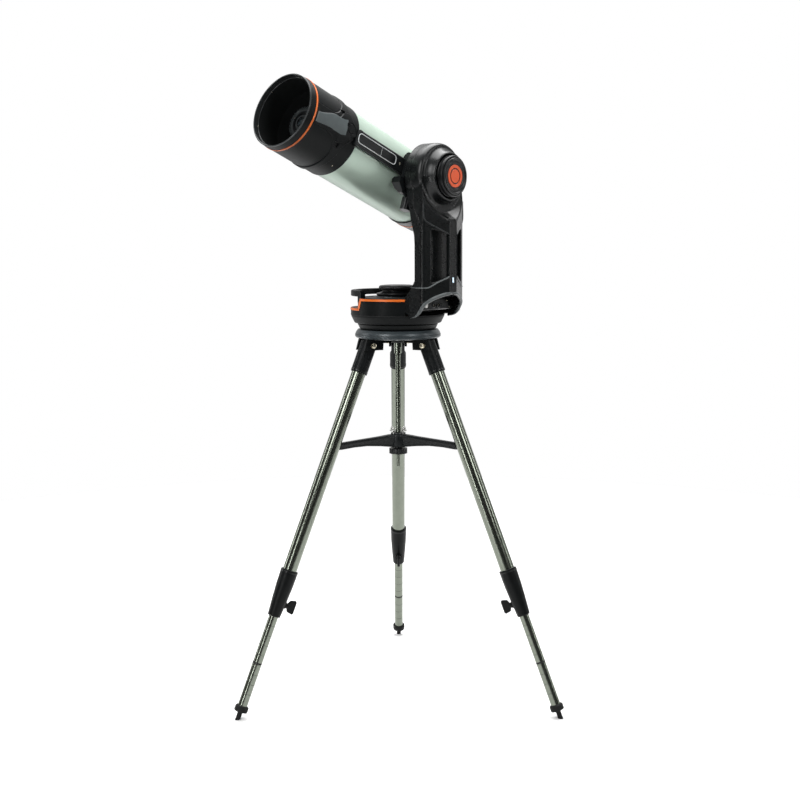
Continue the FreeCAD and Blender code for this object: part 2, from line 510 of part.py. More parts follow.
# ---------------------------------------------------------------- tube assembly
def make_tube():
    keep("main_tube", on_tube(ring(TUBE_R, TUBE_R - TUBE_WALL, TUBE_REAR - 6, TUBE_FRONT + 8)))

    cell = revolve([(TUBE_R, TUBE_FRONT), (94.5, TUBE_FRONT), (97, TUBE_FRONT + 3), (98, TUBE_FRONT + 30),
                    (98, SHIELD_START - 12), (97, SHIELD_START), (SHIELD_BORE_R - 4, SHIELD_START),
                    (SHIELD_BORE_R - 4, TUBE_FRONT + 46), (84, TUBE_FRONT + 46), (84, TUBE_FRONT + 8.2),
                    (TUBE_R, TUBE_FRONT + 8.2)])
    keep("front_cell", on_tube(cell))
    keep("corrector_plate", on_tube(ring(88.4, 36.2, TUBE_FRONT + 46.2, TUBE_FRONT + 51.2)))
    camera = revolve([(0, TUBE_FRONT + 20), (30, TUBE_FRONT + 20), (36, TUBE_FRONT + 40),
                      (36, TUBE_FRONT + 46), (41, TUBE_FRONT + 52), (41, TUBE_FRONT + 62),
                      (34, TUBE_FRONT + 64), (34, TUBE_FRONT + 86), (31, TUBE_FRONT + 89), (0, TUBE_FRONT + 89)])
    camera = camera.cut(ring(42, 36, TUBE_FRONT + 45, TUBE_FRONT + 52.0))
    keep("camera_module", on_tube(camera))
    shield = revolve([(SHIELD_BORE_R, BORE_START), (91, BORE_START - 3), (91, SHIELD_START + 0.2),
                      (SHIELD_R - 0.5, SHIELD_START + 0.2),
                      (SHIELD_R, SHIELD_START + 8), (SHIELD_R, SHIELD_END - 20),
                      (95.8, SHIELD_END), (SHIELD_BORE_R + 1, SHIELD_END), (SHIELD_BORE_R, SHIELD_END - 2)])
    shield = shield.cut(ring(SHIELD_R + 3, SHIELD_R - 1.0, *SHIELD_RING))
    keep("dew_shield", on_tube(shield))
    rings = [ring(SHIELD_R + 0.8, SHIELD_R - 1.0, SHIELD_RING[0] + 0.2, SHIELD_RING[1] - 0.2),
             ring(96.6, 91.0, REAR_TRIM[0] + 0.1, REAR_TRIM[1] - 0.1)]
    keep("trim_rings", on_tube(Part.makeCompound(rings)))

    rear = revolve([(88, REAR_TRIM[1]), (95.8, REAR_TRIM[1]), (96, TUBE_REAR - 6), (91, TUBE_REAR - 5.5),
                    (91, TUBE_REAR - 1), (TUBE_R - TUBE_WALL, TUBE_REAR - 1), (TUBE_R - TUBE_WALL, TUBE_REAR + 12),
                    (84, TUBE_REAR + 12), (84, TUBE_REAR - 20), (88, TUBE_REAR - 24)])
    rear = rear.cut(ring(TUBE_R + 0.02, TUBE_R - TUBE_WALL - 0.02, TUBE_REAR - 6, TUBE_REAR + 20))
    keep("rear_cell", on_tube(rear))
    outline = [(0, REAR_END), (78, REAR_END), (89, REAR_END + 6), (94, REAR_END + 16), (95.8, REAR_TRIM[0]),
               (91.5, REAR_TRIM[0]), (90, REAR_END + 20), (85, REAR_END + 9), (76, REAR_END + 4),
               (0, REAR_END + 4)]
    cover = revolve(outline)
    slots = []
    for i in range(12):
        slot = block(-3, 3, 36, 66, REAR_END - 2, REAR_END + 6)
        slots.append(slot.rotated(Vector(0, 0, 0), Z, 30 * i))
    hub_post = cylinder(5.0, REAR_END + 4, REAR_END + 10)
    spokes = cut(cover, *slots).fuse(hub_post)
    keep("rear_cover", on_tube(spokes))
    mirror = revolve([(18, TUBE_REAR - 16), (82, TUBE_REAR - 16), (82, TUBE_REAR + 4), (50, TUBE_REAR - 1.5),
                      (18, TUBE_REAR - 4)])
    plate = ring(84, 18, TUBE_REAR - 20, TUBE_REAR - 16)
    keep("primary_mirror", on_tube(fuse(mirror, plate)))
    rotor = cylinder(14, REAR_END + 11, REAR_END + 24)
    blade = block(12, 34, -1.0, 1.0, REAR_END + 12, REAR_END + 22)
    blades = [blade.rotated(Vector(22, 0, REAR_END + 17), X, 32).rotated(Vector(0, 0, 0), Z, 360.0 * i / 7)
              for i in range(7)]
    keep("fan_rotor", on_tube(fuse(rotor, *blades)))


def make_saddle():
    low, high = BAR_X
    bar = prism_z([(low, -BAR_HALF), (low, BAR_HALF), (high - 3, BAR_HALF), (high, BAR_HALF - 3),
                   (high, -BAR_HALF + 3), (high - 3, -BAR_HALF)], TUBE_REAR - 3, TUBE_FRONT - 0.5)
    bar = bar.cut(cylinder(TUBE_R + 0.02, -120, 300))
    shoes = [block(88, low, -10, 10, a, a + 14).cut(cylinder(TUBE_R, -120, 300)) for a in (-70, 225)]
    keep("dovetail_bar", on_tube(fuse(bar, *shoes)))

    plate = block(high + 0.02, SADDLE_X_MAX, -BAR_HALF - 16, BAR_HALF + 15, -60, 78)
    top_jaw = prism_z([(92, BAR_HALF + 0.05), (SADDLE_X_MAX - 5, BAR_HALF + 0.05), (SADDLE_X_MAX - 5, BAR_HALF + 13),
                       (97, BAR_HALF + 13)], -55, 74)
    boss = cylinder(10, BAR_HALF + 4, BAR_HALF + 19, Y, Vector(105, 0, 62))
    lower = [(94, -BAR_HALF - 13), (SADDLE_X_MAX, -BAR_HALF - 13), (SADDLE_X_MAX, -66), (SADDLE_X_MAX - 6, -69),
             (100, -69), (91, -60), (88, -40)]
    housing = prism_z(lower, -46, 90)
    facets = prism_x([(-30, -50), (-30, 92), (-48, 92), (-72, 66), (-72, -28), (-52, -50)], 80, 120)
    housing = housing.common(facets)
    screw_hole = cylinder(4.0 + RUNNING, 30, 75, -Y, Vector(102, 0, SADDLE_KNOB_ALONG))
    saddle = fuse(plate, top_jaw, boss, housing).cut(screw_hole)
    keep("saddle", on_tube(saddle))
    jaw = prism_z([(93.5, -BAR_HALF - 0.1), (103.5, -BAR_HALF - 0.1), (103.5, -BAR_HALF - 7), (95, -BAR_HALF - 7)],
                  -40, 60)
    keep("saddle_jaw", on_tube(jaw))
    grip = fluted(14.2, 8, 3.4, 0, 34)
    grip.Placement = Placement(Vector(101.6, -70.2, SADDLE_KNOB_ALONG), Rotation(X, 90))
    screw = cylinder(4.0, 35.0, 71, -Y, Vector(102, 0, SADDLE_KNOB_ALONG))
    keep("saddle_knob", on_tube(fuse(grip, screw)))

    shaft_start = SADDLE_X_MAX + TUBE_OFFSET_X
    shaft = fuse(cylinder(SHAFT_R, shaft_start, CLUTCH_OUT_X - 7, X, Vector(0, 0, ALTITUDE_Z)),
                 cylinder(30, shaft_start, HEAD_IN_X - 0.4, X, Vector(0, 0, ALTITUDE_Z)))
    keep("altitude_shaft", on_mount(shaft))
    wheel = toothed(54, 51.5, 72, 0, 8)
    wheel = fuse(wheel, ring(20, SHAFT_R, 0, 16)).cut(cylinder(SHAFT_R, -1, 20))
    wheel.Placement = Placement(Vector(130, 0, ALTITUDE_Z), Rotation(Y, 90))
    keep("altitude_gear", on_mount(wheel))


# ---------------------------------------------------------------- build
make_head()
make_rod()
for leg_number, leg_azimuth in enumerate(LEG_AZIMUTHS, start=1):
    make_leg(leg_number, leg_azimuth)
make_spreader()
make_base()
make_turntable()
make_arm()
make_ports()
make_arm_contents()
make_tube()
make_saddle()

os.makedirs("parts", exist_ok=True)
for name, shape in nodes.items():
    if not shape.isValid():
        print("not valid:", name)
    shape.exportStep(os.path.join("parts", name + ".step"))
    box = shape.BoundBox
    print(f"{name:22s} solids {len(shape.Solids)} volume {shape.Volume / 1000:9.1f} cm3 "
          f"z {box.ZMin:7.1f} to {box.ZMax:7.1f}")
print(len(nodes), "nodes")
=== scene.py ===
import json
import math

import bmesh
import bpy
from mathutils import Matrix, Vector


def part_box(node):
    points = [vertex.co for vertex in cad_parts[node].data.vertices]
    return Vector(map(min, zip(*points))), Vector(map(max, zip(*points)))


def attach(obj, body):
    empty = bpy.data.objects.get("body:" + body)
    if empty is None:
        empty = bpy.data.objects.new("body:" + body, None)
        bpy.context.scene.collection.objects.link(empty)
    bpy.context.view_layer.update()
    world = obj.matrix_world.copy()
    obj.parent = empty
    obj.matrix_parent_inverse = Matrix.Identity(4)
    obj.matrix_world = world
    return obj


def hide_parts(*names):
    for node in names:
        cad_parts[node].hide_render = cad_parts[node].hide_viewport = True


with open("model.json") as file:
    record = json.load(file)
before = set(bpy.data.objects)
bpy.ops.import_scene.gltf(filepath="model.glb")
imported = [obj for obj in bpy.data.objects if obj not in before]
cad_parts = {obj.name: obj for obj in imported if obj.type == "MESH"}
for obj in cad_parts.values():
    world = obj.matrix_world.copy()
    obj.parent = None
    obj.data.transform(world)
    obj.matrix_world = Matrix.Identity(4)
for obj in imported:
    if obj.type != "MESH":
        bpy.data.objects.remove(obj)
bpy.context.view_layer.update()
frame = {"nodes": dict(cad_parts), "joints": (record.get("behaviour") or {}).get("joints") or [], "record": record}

MM = 0.001
LEGS = (1, 2, 3)
LEG_TILT = 22.37  # degrees from upright
ARM_FOOT_SLOPE = 0.76  # rise over run of the lower edge of the arm
HEAD_RING_LOW = 0.9873  # metres: the tripod head's grey ring ends here and its black hub begins
ROW = Matrix.Identity(4)

# ---------------------------------------------------------------- frames, read from the CAD record
joints = {j["name"]: j for j in frame["joints"]}
nodes = frame["nodes"]
mounts = {m["name"]: m for m in frame["record"]["mounts"]}
UP = Vector((0, 0, 1))
arm_way = -Vector(joints["altitude_tilt"]["axis"]).normalized()
altitude_at = Vector(joints["altitude_tilt"]["pos_m"])
tube_way = Vector(joints["fan_spin"]["axis"]).normalized()
fan_at = Vector(joints["fan_spin"]["pos_m"])
tube_offset = (fan_at - altitude_at).dot(arm_way)


def basis(x, y, z, origin):
    """Matrix from a local frame with these axes and origin, to the row frame."""
    m = Matrix((x, y, z)).transposed().to_4x4()
    m.translation = origin
    return m


# MOUNT has X toward the arm and Z up. HEAD starts on the altitude axis, with Y up and Z toward the arm.
# TUBE has X toward the arm and Z along the optical axis.
MOUNT = basis(arm_way, UP.cross(arm_way), UP, Vector((0, 0, 0)))
HEAD = basis(UP.cross(arm_way), UP, arm_way, altitude_at)
TUBE = basis(arm_way, tube_way.cross(arm_way), tube_way, altitude_at + arm_way * tube_offset)
# Turned frames to use inside those: Z along their X, and Z against their Y.
Z_ALONG_X = basis(Vector((0, 1, 0)), UP, Vector((1, 0, 0)), Vector((0, 0, 0)))
Z_AGAINST_Y = basis(Vector((1, 0, 0)), UP, Vector((0, -1, 0)), Vector((0, 0, 0)))


def leg_frame(k):
    """Z up along the leg from its foot, X outward."""
    up = -Vector(joints[f"leg_extend_{k}"]["axis"]).normalized()
    out = -Vector(joints[f"lock_knob_turn_{k}"]["axis"]).normalized()
    foot = Vector(mounts[f"foot_{k}_face"]["pos_m"])
    return basis(out, up.cross(out), up, foot)


# ---------------------------------------------------------------- materials
GRAIN_DEPTH = 0.0002
MOTTLE_STOPS = (0.3, 0.7)
LEAST_ROUGHNESS = 0.02


def new_material(name, color, rough, metal=0.0, mottle=0.12, mottle_scale=60.0, grain=0.15,
                 grain_scale=1800.0, rough_spread=0.08, coat=0.0, specular=0.5):
    """Principled surface with mottled colour, uneven gloss and a fine bumpy grain."""
    mat = bpy.data.materials.new(name)
    mat.use_nodes = True
    nt = mat.node_tree
    bsdf = nt.nodes["Principled BSDF"]
    bsdf.inputs["Metallic"].default_value = metal
    bsdf.inputs["Roughness"].default_value = rough
    bsdf.inputs["Coat Weight"].default_value = coat
    bsdf.inputs["Specular IOR Level"].default_value = specular
    place = nt.nodes.new("ShaderNodeTexCoord").outputs["Object"]
    broad = nt.nodes.new("ShaderNodeTexNoise")
    broad.inputs["Scale"].default_value = mottle_scale
    broad.inputs["Detail"].default_value = 5.0
    nt.links.new(place, broad.inputs["Vector"])
    ramp = nt.nodes.new("ShaderNodeValToRGB")
    factors = (1 - mottle, 1 + mottle)
    for element, position, factor in zip(ramp.color_ramp.elements, MOTTLE_STOPS, factors):
        element.position = position
        element.color = (*[min(1.0, c * factor) for c in color], 1)
    nt.links.new(broad.outputs["Fac"], ramp.inputs["Fac"])
    nt.links.new(ramp.outputs["Color"], bsdf.inputs["Base Color"])
    if rough_spread:
        gloss = nt.nodes.new("ShaderNodeMapRange")
        gloss.inputs["To Min"].default_value = max(LEAST_ROUGHNESS, rough - rough_spread)
        gloss.inputs["To Max"].default_value = min(1.0, rough + rough_spread)
        nt.links.new(broad.outputs["Fac"], gloss.inputs["Value"])
        nt.links.new(gloss.outputs["Result"], bsdf.inputs["Roughness"])
    if grain:
        fine = nt.nodes.new("ShaderNodeTexNoise")
        fine.inputs["Scale"].default_value = grain_scale
        fine.inputs["Detail"].default_value = 2.0
        nt.links.new(place, fine.inputs["Vector"])
        bump = nt.nodes.new("ShaderNodeBump")
        bump.inputs["Strength"].default_value = grain
        bump.inputs["Distance"].default_value = GRAIN_DEPTH
        nt.links.new(fine.outputs["Fac"], bump.inputs["Height"])
        nt.links.new(bump.outputs["Normal"], bsdf.inputs["Normal"])
    return mat


def glass_material(name, color, rough):
    """Clear surface that light goes through."""
    mat = new_material(name, color, rough, mottle=0.03, grain=0.02, rough_spread=0.01)
    bsdf = mat.node_tree.nodes["Principled BSDF"]
    bsdf.inputs["Transmission Weight"].default_value = 1.0
    bsdf.inputs["IOR"].default_value = 1.5
    return mat


def glowing_material(name, color, strength):
    """Surface that gives off its own light."""
    mat = new_material(name, color, 0.3, mottle=0.05)
    bsdf = mat.node_tree.nodes["Principled BSDF"]
    bsdf.inputs["Emission Color"].default_value = (*color, 1)
    bsdf.inputs["Emission Strength"].default_value = strength
    return mat


M = {
    "shell": new_material("shell_plastic", (0.0040, 0.0050, 0.0052), 0.28, mottle=0.10, grain=0.08,
                          grain_scale=2600, rough_spread=0.04, specular=0.30),
    "shield": new_material("shield_plastic", (0.0036, 0.0046, 0.0048), 0.42, mottle=0.10, grain=0.12,
                           grain_scale=2400, rough_spread=0.04, specular=0.11),
    # strap: the straps' own grey, made light enough to also paint their highlight.
    "strap": new_material("strap_grey_and_highlight_plastic", (0.086, 0.105, 0.108), 0.44, mottle=0.08, grain=0.10,
                          grain_scale=2400, rough_spread=0.04, specular=0.30),
    # edge: light grey that paints the highlights along the arm's ledges and arches.
    "edge": new_material("painted_highlight_plastic", (0.085, 0.098, 0.100), 0.30, mottle=0.08, grain=0.06, specular=0.5),
    # rim: dark grey of real rims, lighter than the shell, so beads in it also paint highlights on edges.
    "rim": new_material("rim_and_highlight_plastic", (0.020, 0.024, 0.025), 0.30, mottle=0.08, grain=0.08),
    "inside": new_material("inside_black", (0.010, 0.011, 0.011), 0.55, mottle=0.10, grain=0.3,
                           grain_scale=3000, specular=0.2),
    "knob": new_material("knob_plastic", (0.0045, 0.0050, 0.0055), 0.30, mottle=0.10, grain=0.12,
                         specular=0.32),
    "black_metal": new_material("black_coated_metal", (0.007, 0.0085, 0.009), 0.36, metal=0.06, grain=0.18,
                                grain_scale=3200, specular=0.20),
    "clamp": new_material("clamp_plastic", (0.0040, 0.0046, 0.0048), 0.36, grain=0.2, grain_scale=2400,
                          specular=0.13),
    "socket": new_material("socket_paint", (0.0050, 0.0062, 0.0065), 0.38, grain=0.15, grain_scale=2200,
                           specular=0.12),
    "head_paint": new_material("head_grey_paint", (0.040, 0.052, 0.058), 0.34, metal=0.25, grain=0.15,
                               grain_scale=2400),
    "tube": new_material("tube_silver_paint", (0.49, 0.615, 0.520), 0.36, metal=0.35, mottle=0.035,
                         mottle_scale=25, grain=0.05, grain_scale=5000, coat=0.15),
    "steel": new_material("polished_steel", (0.180, 0.197, 0.164), 0.19, metal=1.0, mottle=0.05, grain=0.0,
                          rough_spread=0.0),
    "brushed": new_material("brushed_steel", (0.52, 0.52, 0.50), 0.30, metal=1.0, mottle=0.08, grain=0.10),
    "bolt": new_material("bolt_metal", (0.55, 0.51, 0.40), 0.28, metal=1.0, mottle=0.15, grain=0.15),
    "orange": new_material("orange_trim", (0.88, 0.17, 0.014), 0.38, mottle=0.06, grain=0.08),
    "emblem": new_material("orange_disc", (0.86, 0.10, 0.014), 0.42, mottle=0.05, grain=0.08),
    "rubber": new_material("foot_rubber", (0.007, 0.0075, 0.0075), 0.62, specular=0.2, grain=0.35,
                           grain_scale=1600),
    "print": new_material("pale_print", (0.72, 0.76, 0.76), 0.45, mottle=0.04, grain=0.08),
    "brass": new_material("gear_brass", (0.68, 0.50, 0.20), 0.28, metal=1.0, mottle=0.1, grain=0.1),
    "board": new_material("board_lacquer", (0.02, 0.14, 0.06), 0.35, mottle=0.25, mottle_scale=220),
    "wrap": new_material("battery_wrap", (0.03, 0.06, 0.18), 0.33, mottle=0.08),
    "mirror": new_material("mirror_coating", (0.92, 0.93, 0.94), 0.04, metal=1.0, mottle=0.01, grain=0.0,
                           rough_spread=0.01),
    "glass": glass_material("coated_glass", (0.86, 0.95, 0.93), 0.03),
    "lens": glass_material("lens_glass", (0.70, 0.85, 0.92), 0.02),
    "light": glowing_material("light_bar", (0.62, 0.80, 0.95), 1.2),
    "dark": new_material("deep_black", (0.004, 0.004, 0.004), 0.6, grain=0.1, specular=0.32),
}


# ---------------------------------------------------------------- CAD nodes that stay, with their finish
def per_leg(*names):
    """Node names with the number of each leg added."""
    return tuple(f"{name}_{k}" for name in names for k in LEGS)


FINISH = {
    "head_paint": ("tripod_head",),
    "bolt": ("hinge_bolts",),
    "brushed": ("mount_bolts", "arm_screws", "spreader_washer", "power_button", "altitude_shaft",
                "altitude_bearings", "azimuth_bearing"),
    "steel": ("center_rod", *per_leg("upper_leg", "lower_leg")),
    "socket": per_leg("leg_socket"),
    "clamp": per_leg("leg_clamp", "lock_knob"),
    "rubber": per_leg("foot"),
    "black_metal": ("spreader", "saddle", "saddle_jaw", "dovetail_bar", "azimuth_motor", "altitude_motor"),
    "knob": ("spreader_knob", "saddle_knob", "azimuth_clutch_knob", "altitude_clutch_knob"),
    "shell": ("arm_inner_shell", "arm_outer_shell", "port_panel", "rear_cover", "rear_cell", "fan_rotor",
              "front_cell"),
    "shield": ("dew_shield", "camera_module", "base_drum", "turntable_shell"),
    "orange": ("base_trim", "trim_rings"),
    "tube": ("main_tube",),
    "brass": ("azimuth_gear", "altitude_gear"),
    "glass": ("corrector_plate", "bubble_level"),
    "mirror": ("primary_mirror",),
    "board": ("control_board",),
    "wrap": ("battery_pack",),
    "light": ("arm_light",),
}
for finish_name, names in FINISH.items():
    for node_name in names:
        node = nodes[node_name]
        node.data.materials.clear()
        node.data.materials.append(M[finish_name])
hub = nodes["tripod_head"]
hub.data.materials.append(M["socket"])
for face in hub.data.polygons:
    if (hub.matrix_world @ face.center).z < HEAD_RING_LOW:
        face.material_index = 1

BEVEL_FROM = math.radians(32)
BEVEL_WIDTHS = {
    0.0040: ("saddle",),
    0.0022: ("arm_inner_shell",),
    0.0014: ("turntable_shell",),
    0.0012: ("base_drum", "tripod_head", *per_leg("leg_socket", "leg_clamp")),
    0.0010: ("rear_cover", *per_leg("foot")),
    0.0008: ("saddle_knob",),
    0.0006: per_leg("lock_knob"),
    0.0004: ("port_panel", "hinge_bolts"),
    0.0003: ("base_trim",),
}


def soften(node_name, width):
    """Rounds a CAD node's sharp edges without changing its mesh."""
    bevel = nodes[node_name].modifiers.new("edge", "BEVEL")
    bevel.width = width
    bevel.segments = 2
    bevel.limit_method = "ANGLE"
    bevel.angle_limit = BEVEL_FROM
    bevel.use_clamp_overlap = True


for bevel_width, names in BEVEL_WIDTHS.items():
    for node_name in names:
        soften(node_name, bevel_width)


# ---------------------------------------------------------------- mesh helpers
def add_piece(name, verts, faces, local, body, material, sharp=38):
    """Mesh piece from points in a local frame, in metres, riding on a body."""
    mesh = bpy.data.meshes.new(name)
    mesh.from_pydata([local @ Vector(v) for v in verts], [], faces)
    built = bmesh.new()
    built.from_mesh(mesh)
    bmesh.ops.recalc_face_normals(built, faces=built.faces)
    built.to_mesh(mesh)
    built.free()
    mesh.shade_smooth()
    mesh.set_sharp_from_angle(angle=math.radians(sharp))
    mesh.materials.append(M[material])
    piece = bpy.data.objects.new(name, mesh)
    bpy.context.scene.collection.objects.link(piece)
    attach(piece, body)
    return piece


def grid_faces(rows, columns, wrap_rows=False):
    """Quads between the rows of a grid of points, closed round the columns."""
    faces = []
    for i in range(rows if wrap_rows else rows - 1):
        here, above = i * columns, (i + 1) % rows * columns
        for j in range(columns):
            after = (j + 1) % columns
            faces.append((here + j, here + after, above + after, above + j))
    return faces


def end_faces(rows, sides):
    """The two flat ends of a grid of points."""
    return [tuple(range(sides))[::-1], tuple((rows - 1) * sides + j for j in range(sides))]


def polar(radius, turn, height):
    """Point at a radius and an angle in radians round a Z axis."""
    return radius * math.cos(turn), radius * math.sin(turn), height


ON_AXIS, LEAST_RADIUS = 0.05, 0.02


def turned(profile, segments, at=(0, 0), bump=None):
    """Points and faces of a solid turned about a Z axis from an outline of (radius, height) in mm, which is
    closed unless both its ends lie on the axis. bump gives a factor on the radius from an angle, the radius
    and the height."""
    verts = []
    for radius, height in profile:
        for j in range(segments):
            turn = 2 * math.pi * j / segments
            r = max(radius, LEAST_RADIUS) * MM * (bump(turn, radius, height) if bump else 1)
            x, y, z = polar(r, turn, height * MM)
            verts.append((at[0] * MM + x, at[1] * MM + y, z))
    hollow = profile[0][0] > ON_AXIS or profile[-1][0] > ON_AXIS
    return verts, grid_faces(len(profile), segments, wrap_rows=hollow)


def lathe(name, profile, local, body, material, segments=96, at=(0, 0), sharp=38, bump=None):
    """Turned piece that rides on a body."""
    verts, faces = turned(profile, segments, at, bump)
    return add_piece(name, verts, faces, local, body, material, sharp)


def smoothstep(low, high, value):
    """0 at low and 1 at high, with a smooth way between them."""
    t = min(1.0, max(0.0, (value - low) / (high - low)))
    return t * t * (3 - 2 * t)


def groove(offset, width, depth):
    """Depth of a rounded groove at an offset from its middle."""
    return depth * math.exp(-(offset / width) ** 2)


def rounded_box_distance(u, v, half_u, half_v, corner):
    """Signed distance from a rounded rectangle, negative inside."""
    du, dv = abs(u) - half_u + corner, abs(v) - half_v + corner
    return math.hypot(max(du, 0), max(dv, 0)) + min(max(du, dv), 0) - corner


# ---------------------------------------------------------------- dew shield and front cell
# Heights are along the tube from the altitude axis, and all sizes are in mm.
SHIELD_REAR, SHIELD_LIP = 250.0, 433.6
SHIELD_SEGMENTS, SHIELD_ROWS = 720, 260
BAND_R, PANEL_R, CELL_R, LIP_R = 99.0, 96.8, 95.4, 97.0
PANEL_REAR, PANEL_TURN, PANEL_FRONT = 312.0, 352.0, 405.0
BOSS_ALONG, BOSS_DEG, BOSS_RADIUS, BOSS_R = 285.0, 6.0, 14.5, 101.2
STRAP_R = 101.6
POCKETS = ((312.0, -25.5), (317.0, 24.5), (312.0, 154.5), (317.0, 204.5))


def strap_angle(degrees):
    """Angle from the nearer of the two straps, which lie at 0 and 180 degrees."""
    return (degrees + 90) % 180 - 90


def strap_centre(along):
    """Angle of a strap's middle line from its nominal place, in degrees, which changes along the tube."""
    return -5.5 + 6.5 * smoothstep(405, 345, along) + 4.0 * smoothstep(320, 290, along)


def inside_strap(along, a):
    """Distance in mm inside the outline of a raised strap, which flares and then closes on its boss."""
    centre = strap_centre(along)
    half = 8.0 + 3.8 * smoothstep(400, 335, along) + 11.5 * smoothstep(330, 311, along)
    half -= 15.0 * smoothstep(298, 268, along)
    return min(math.radians(half - abs(a - centre)) * BAND_R, along - 262)


def panel_distance(along, a):
    """Distance in mm outside a sunken side panel, which has large oval corners at its rear."""
    across = math.radians(90 - abs(a)) * BAND_R
    if along > PANEL_TURN:
        return across - 129
    if across < 62:
        return PANEL_REAR - along
    return (math.hypot((PANEL_TURN - along) / 40, (across - 62) / 67) - 1) * 48


def shield_radius(along, degrees):
    """Outer radius of the front cell and dew shield at a place along the tube and round it."""
    a = strap_angle(degrees)
    rear = 266.0 + 26.0 * smoothstep(2, 27, abs(a)) + 8.0 * smoothstep(27, 95, abs(a))
    radius = CELL_R + (BAND_R - CELL_R) * smoothstep(rear - 1.6, rear + 0.4, along)
    radius -= groove(along - rear + 2.4, 1.1, 1.5)
    panel = panel_distance(along, a)
    radius -= (BAND_R - PANEL_R) * (1 - smoothstep(-1.8, 0.4, panel))
    radius -= groove(panel + 1.0, 1.1, 1.0)
    inside = inside_strap(along, a)
    radius += (STRAP_R - radius) * smoothstep(-1.4, 1.6, inside)
    radius -= groove(inside + 2.0, 1.0, 0.6)
    ring_edge = smoothstep(PANEL_FRONT - 3, PANEL_FRONT + 1, along)
    radius = radius * (1 - ring_edge) + LIP_R * ring_edge
    if 408.6 < along < 413.4:
        radius = LIP_R - 1.2
    if along > 413:
        radius -= 1.2 * smoothstep(414, SHIELD_LIP, along)
    boss_u = along - BOSS_ALONG
    boss_v = math.radians(strap_angle(degrees - BOSS_DEG)) * BAND_R
    boss = math.hypot(boss_u, boss_v)
    radius = max(radius, CELL_R + (BOSS_R - CELL_R) * smoothstep(BOSS_RADIUS + 5, BOSS_RADIUS + 2, boss))
    radius -= groove(boss - BOSS_RADIUS + 1.5, 1.2, 1.9)
    notch = rounded_box_distance(boss_u - BOSS_RADIUS * 0.80, boss_v - 4, 5.0, 4.5, 1.0)
    radius -= 2.4 * smoothstep(0.6, -0.6, notch)
    for pocket_along, pocket_deg in POCKETS:
        arc = math.radians((degrees - pocket_deg + 180) % 360 - 180) * BAND_R
        pocket = rounded_box_distance(along - pocket_along, arc, 7.5, 5.5, 1.5)
        radius -= 4.0 * smoothstep(0.5, -0.5, pocket)
    return radius


def shield_rows():
    """Rings of (radius, along) round the whole wall: rear edge, outside, then lip and inside. Also gives the
    number of rings inside."""
    outer = SHIELD_LIP - 4.2 - SHIELD_REAR
    rear = [(84.0, SHIELD_REAR + 8.2), (92.6, SHIELD_REAR + 8.2), (92.6, SHIELD_REAR + 0.2),
            (94.2, SHIELD_REAR + 0.2), (95.2, SHIELD_REAR + 1.6)]
    inner = [(95.5, SHIELD_LIP - 0.5), (95.0, SHIELD_LIP), (94.0, SHIELD_LIP), (93.2, SHIELD_LIP - 0.8),
             (93.0, SHIELD_LIP - 9), (92.6, SHIELD_LIP - 10)]
    inner += [(92.6 - 0.5 * (i % 2), SHIELD_LIP - 11 - i * 1.5) for i in range(50)]
    inner += [(91.2, 344), (91.0, 330), (90.2, 326), (88.6, 316), (88.6, 301.6), (88.4, 296.0), (84.0, 296.0)]
    rows = [[ring] * SHIELD_SEGMENTS for ring in rear]
    for i in range(SHIELD_ROWS):
        along = SHIELD_REAR + 3.0 + i * outer / (SHIELD_ROWS - 1)
        rows.append([(shield_radius(along, 360.0 * j / SHIELD_SEGMENTS), along)
                     for j in range(SHIELD_SEGMENTS)])
    rows += [[ring] * SHIELD_SEGMENTS for ring in inner]
    return rows, len(inner)


def make_shield():
    """Front cell and dew shield as one moulding, with a black inside and a lighter grey on the middle of each
    strap, partly its own colour and partly a painted highlight.
    """
    rows, inner_count = shield_rows()
    verts = [polar(r * MM, 2 * math.pi * j / SHIELD_SEGMENTS, along * MM)
             for row in rows for j, (r, along) in enumerate(row)]
    faces = grid_faces(len(rows), SHIELD_SEGMENTS, wrap_rows=True)
    shield = add_piece("dew_shield_body", verts, faces, TUBE, "tube", "shield", sharp=50)
    shield.data.materials.append(M["strap"])
    shield.data.materials.append(M["inside"])
    for face in shield.data.polygons:
        row, column = divmod(min(face.vertices), SHIELD_SEGMENTS)
        along = rows[row][0][1]
        a = strap_angle(360.0 * column / SHIELD_SEGMENTS)
        if row >= len(rows) - inner_count:
            face.material_index = 2
        # Lighter grey only on the middle of each strap: the strap's own grey, lightened into a painted highlight.
        elif 300 < along < 404 and inside_strap(along, a) > 1.0 and abs(a - strap_centre(along)) < 11.5:
            face.material_index = 1
    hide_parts("dew_shield", "front_cell")


TAPERED_END, FULL_FROM = 0.35, 0.6


def swept(name, points, radius, local, body, material, closed=False, sides=10, thin_start=1.0):
    """Round bead that follows points in a local frame, in mm, and can start out thinner."""
    path = [Vector(p) * MM for p in points]
    count = len(path)
    verts = []
    normal = None
    for i, point in enumerate(path):
        ahead = path[(i + 1) % count] if closed or i + 1 < count else point
        behind = path[i - 1] if closed or i > 0 else point
        way = (ahead - behind).normalized()
        if normal is None:
            normal = way.orthogonal().normalized()
        normal = (normal - way * normal.dot(way)).normalized()
        side = way.cross(normal)
        end = 1.0 if closed or 0 < i < count - 1 else TAPERED_END
        end *= thin_start + (1 - thin_start) * smoothstep(0, FULL_FROM, i / (count - 1))
        for j in range(sides):
            turn = 2 * math.pi * j / sides
            verts.append(point + (normal * math.cos(turn) + side * math.sin(turn)) * radius * end * MM)
    faces = grid_faces(count, sides, wrap_rows=closed)
    if not closed:
        faces += end_faces(count, sides)
    return add_piece(name, verts, faces, local, body, material, sharp=80)


